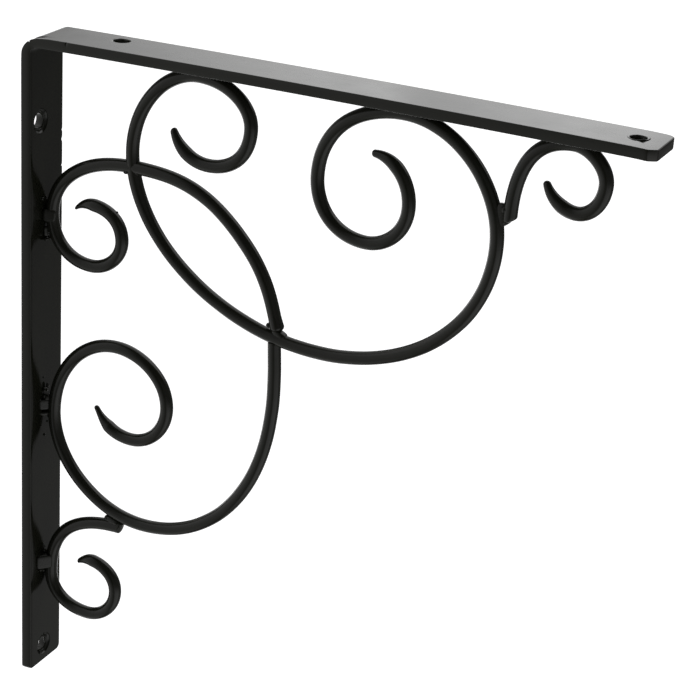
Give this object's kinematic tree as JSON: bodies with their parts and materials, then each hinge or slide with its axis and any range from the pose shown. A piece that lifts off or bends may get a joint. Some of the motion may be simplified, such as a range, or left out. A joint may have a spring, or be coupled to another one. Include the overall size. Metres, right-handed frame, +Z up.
{
  "type": "scroll shelf bracket",
  "caption": "Right-angle shelf bracket of flat bar braced by welded scrolls of round rod, with countersunk screw holes; the upright leg fixes to a wall and the arm carries a shelf.",
  "frame": {"origin": "on the back face of the wall leg, in the middle of its width, halfway in height between the leg's screw holes", "axes": "+X straight out from the wall along the arm, +Y across the bar's width (to the right for someone who faces the wall), +Z up"},
  "size_m": [0.292, 0.027, 0.3239],
  "materials": {
    "black_coat": "semi-gloss black powder coat over mild steel"
  },
  "bodies": {
    "root": {"bent_bar": "black_coat", "upper_scroll": "black_coat", "inner_curl": "black_coat", "linking_arc": "black_coat", "lower_scroll": "black_coat", "end_curl": "black_coat", "foot_curl": "black_coat"}
  },
  "joints": []
}
